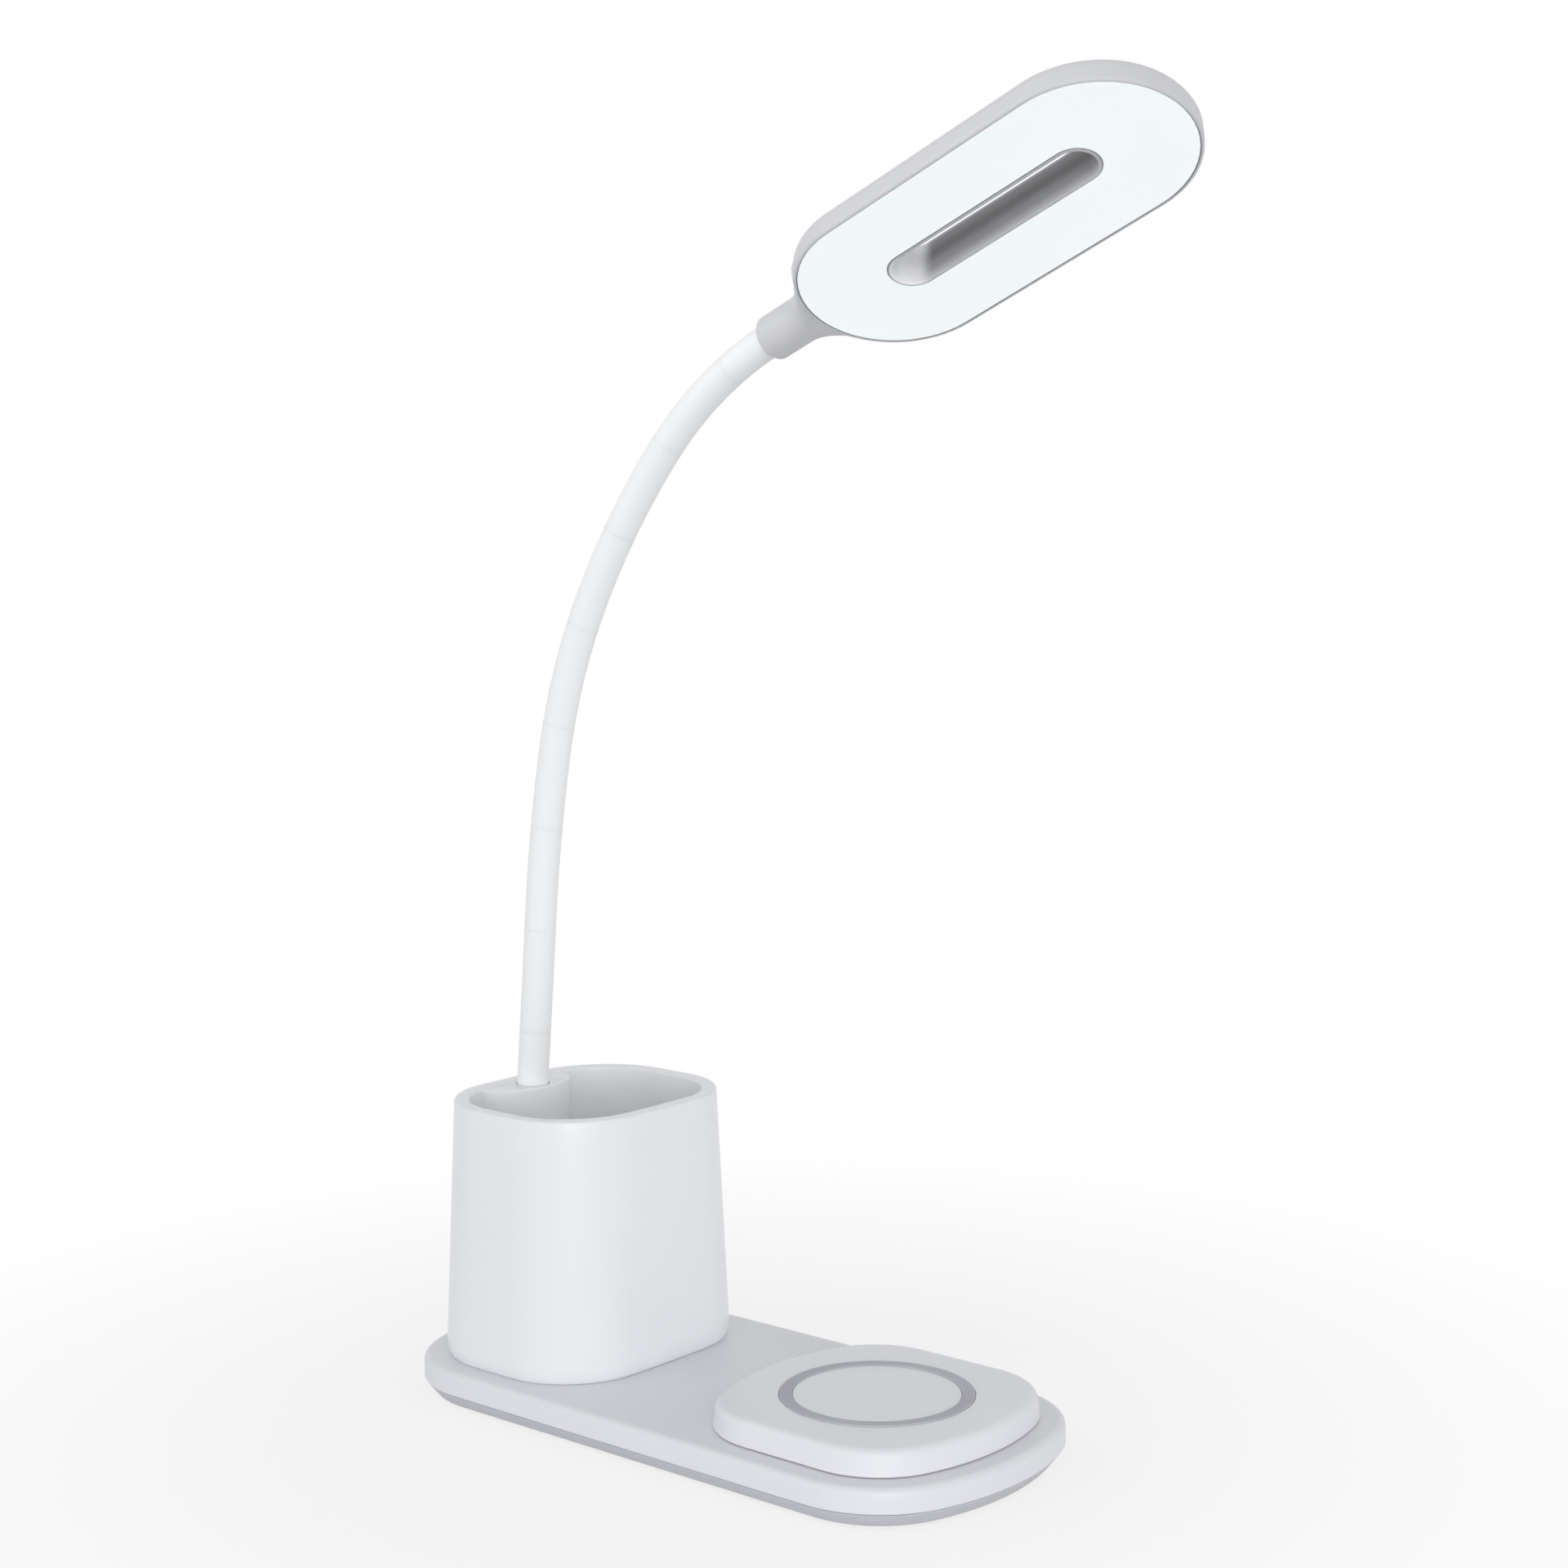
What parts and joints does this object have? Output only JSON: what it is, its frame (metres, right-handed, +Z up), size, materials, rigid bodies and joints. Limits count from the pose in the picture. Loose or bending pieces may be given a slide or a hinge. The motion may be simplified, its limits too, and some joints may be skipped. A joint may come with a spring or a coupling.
{
  "type": "desk lamp",
  "caption": "Desk lamp with a flat base, a pen cup, a raised charging pad, and a bendable gooseneck that carries a stadium-shaped light head with a slot through it.",
  "frame": {"origin": "centre of the base's flat underside, which the rubber feet lift 0.8 mm off the desk", "axes": "+Z up, +X along the base from the pen cup to the charging pad, +Y to the back"},
  "size_m": [0.2218, 0.0844, 0.3269],
  "materials": {
    "tray_plastic": "fine satin moulding",
    "base_plastic": "satin moulding with bright edges",
    "foot_rubber": "matt",
    "screw_steel": "zinc plated",
    "ballast_steel": "plain cut plate",
    "board_laminate": "solder mask",
    "inlet_steel": "bright drawn shell",
    "touch_foil": "bare copper foil",
    "pad_plastic": "satin moulding",
    "grip_silicone": "matt",
    "carrier_plastic": "matt moulding",
    "ferrite": "sintered sheet",
    "coil_copper": "enamelled copper wire",
    "cup_plastic": "satin gloss moulding",
    "ferrule_brass": "turned",
    "neck_silicone": "smooth satin sleeve",
    "head_plastic": "fine satin moulding",
    "diffuser_opal": "opal, lit",
    "guide_acrylic": "clear acrylic",
    "reflector_white": "white sheet",
    "strip_laminate": "white solder mask with phosphor LEDs"
  },
  "bodies": {
    "stand": {"base_bottom_tray": "tray_plastic", "base_top_cover": "base_plastic", "rubber_foot_1": "foot_rubber", "rubber_foot_2": "foot_rubber", "rubber_foot_3": "foot_rubber", "rubber_foot_4": "foot_rubber", "tray_screw_1": "screw_steel", "tray_screw_2": "screw_steel", "tray_screw_3": "screw_steel", "tray_screw_4": "screw_steel", "cup_screw_1": "screw_steel", "cup_screw_2": "screw_steel", "pad_screw_1": "screw_steel", "pad_screw_2": "screw_steel", "ballast_plate": "ballast_steel", "control_board": "board_laminate", "power_inlet": "inlet_steel", "touch_electrode": "touch_foil", "charging_pad_cover": "pad_plastic", "pad_grip_ring": "grip_silicone", "coil_carrier": "carrier_plastic", "ferrite_sheet": "ferrite", "charging_coil": "coil_copper", "pen_cup": "cup_plastic", "neck_ferrule": "ferrule_brass", "neck_nut": "screw_steel", "neck_segment_0": "neck_silicone"},
    "neck_1": {"neck_segment_1": "neck_silicone"},
    "neck_2": {"neck_segment_2": "neck_silicone"},
    "neck_3": {"neck_segment_3": "neck_silicone"},
    "neck_4": {"neck_segment_4": "neck_silicone"},
    "neck_5": {"neck_segment_5": "neck_silicone"},
    "neck_6": {"neck_segment_6": "neck_silicone"},
    "neck_7": {"neck_segment_7": "neck_silicone"},
    "neck_8": {"neck_segment_8": "neck_silicone"},
    "head": {"head_housing": "head_plastic", "diffuser": "diffuser_opal", "light_guide": "guide_acrylic", "reflector_sheet": "reflector_white", "led_strip_front": "strip_laminate", "led_strip_back": "strip_laminate", "head_ferrule": "ferrule_brass"}
  },
  "joints": [
    {"name": "neck_bend_1", "type": "hinge", "parent": "stand", "child": "neck_1", "pos_m": [-0.06991, 0, 0.09219], "axis": [0, 1, 0], "range_deg": [-12, 12]},
    {"name": "neck_bend_2", "type": "hinge", "parent": "neck_1", "child": "neck_2", "pos_m": [-0.06743, 0, 0.12008], "axis": [0, 1, 0], "range_deg": [-12, 12]},
    {"name": "neck_sway_3", "type": "hinge", "parent": "neck_2", "child": "neck_3", "pos_m": [-0.06429, 0, 0.14789], "axis": [0.9893, 0, -0.1461], "range_deg": [-15, 15]},
    {"name": "neck_bend_4", "type": "hinge", "parent": "neck_3", "child": "neck_4", "pos_m": [-0.0591, 0, 0.1754], "axis": [0, 1, 0], "range_deg": [-12, 12]},
    {"name": "neck_bend_5", "type": "hinge", "parent": "neck_4", "child": "neck_5", "pos_m": [-0.04962, 0, 0.2017], "axis": [0, 1, 0], "range_deg": [-12, 12]},
    {"name": "neck_sway_6", "type": "hinge", "parent": "neck_5", "child": "neck_6", "pos_m": [-0.0357, 0, 0.22597], "axis": [0.8299, 0, -0.5579], "range_deg": [-15, 15]},
    {"name": "neck_bend_7", "type": "hinge", "parent": "neck_6", "child": "neck_7", "pos_m": [-0.01852, 0, 0.24805], "axis": [0, 1, 0], "range_deg": [-12, 12]},
    {"name": "neck_bend_8", "type": "hinge", "parent": "neck_7", "child": "neck_8", "pos_m": [0.00301, 0, 0.2658], "axis": [0, 1, 0], "range_deg": [-12, 12]},
    {"name": "head_twist", "type": "hinge", "parent": "neck_8", "child": "head", "pos_m": [0.0154, 0, 0.2723], "axis": [0.9157, 0, 0.4019], "range_deg": [-30, 60]}
  ]
}
